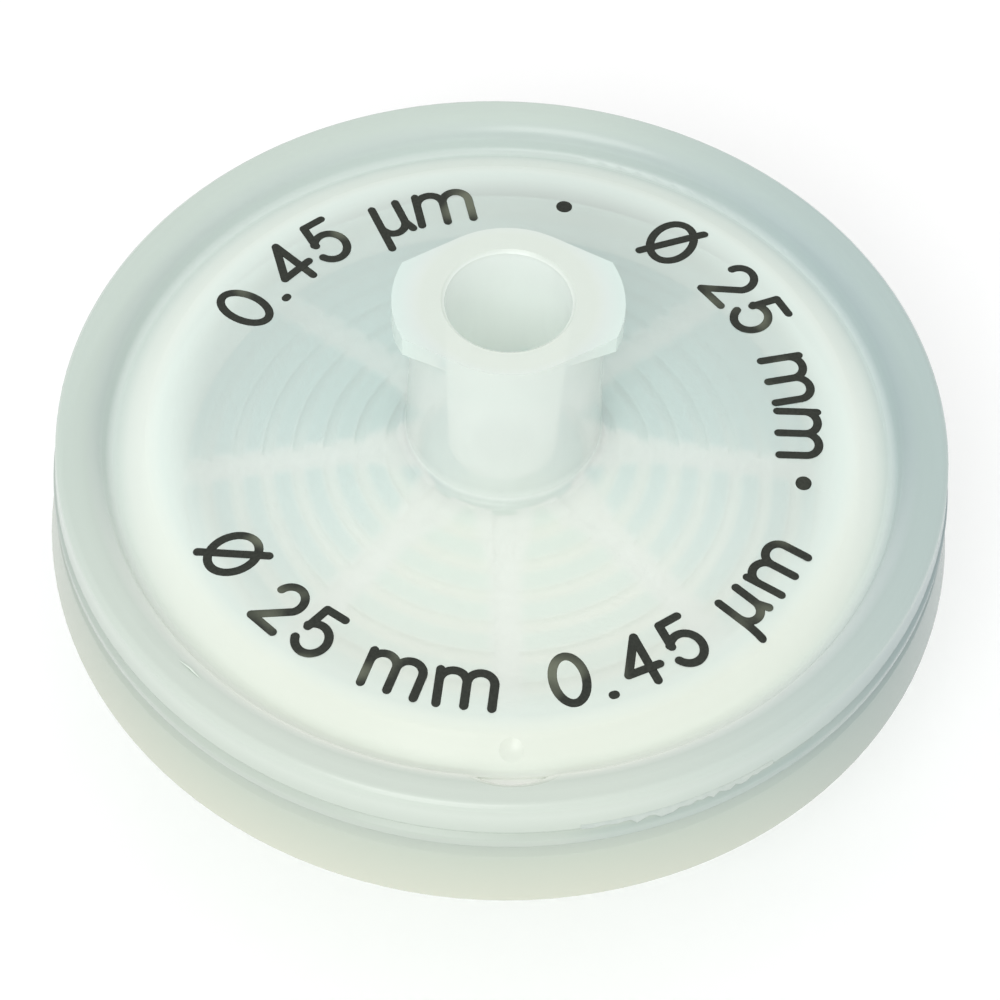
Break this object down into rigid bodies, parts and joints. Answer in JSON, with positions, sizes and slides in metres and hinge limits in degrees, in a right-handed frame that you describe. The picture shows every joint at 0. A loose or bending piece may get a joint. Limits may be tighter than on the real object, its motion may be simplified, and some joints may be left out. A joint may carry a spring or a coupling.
{
  "type": "syringe filter",
  "caption": "Disposable disc filter with a female Luer-lock inlet on one face and a male Luer tip on the other, for filtering liquid out of a syringe.",
  "frame": {"origin": "centre of the mouth of the Luer-lock inlet socket, which is the plane where the syringe's nozzle enters", "axes": "+Z along the flow axis, out of the inlet socket towards the syringe; the outlet tip points to -Z; the two locking lugs lie on X"},
  "size_m": [0.0326, 0.0326, 0.0205],
  "materials": {
    "translucent_polypropylene": "milky translucent natural polypropylene, soft gloss",
    "membrane_white": "matte white microporous sheet",
    "print_ink": "thin black pad print, slightly uneven"
  },
  "bodies": {
    "root": {"inlet_housing": "translucent_polypropylene", "outlet_housing": "translucent_polypropylene", "membrane": "membrane_white"}
  },
  "joints": []
}
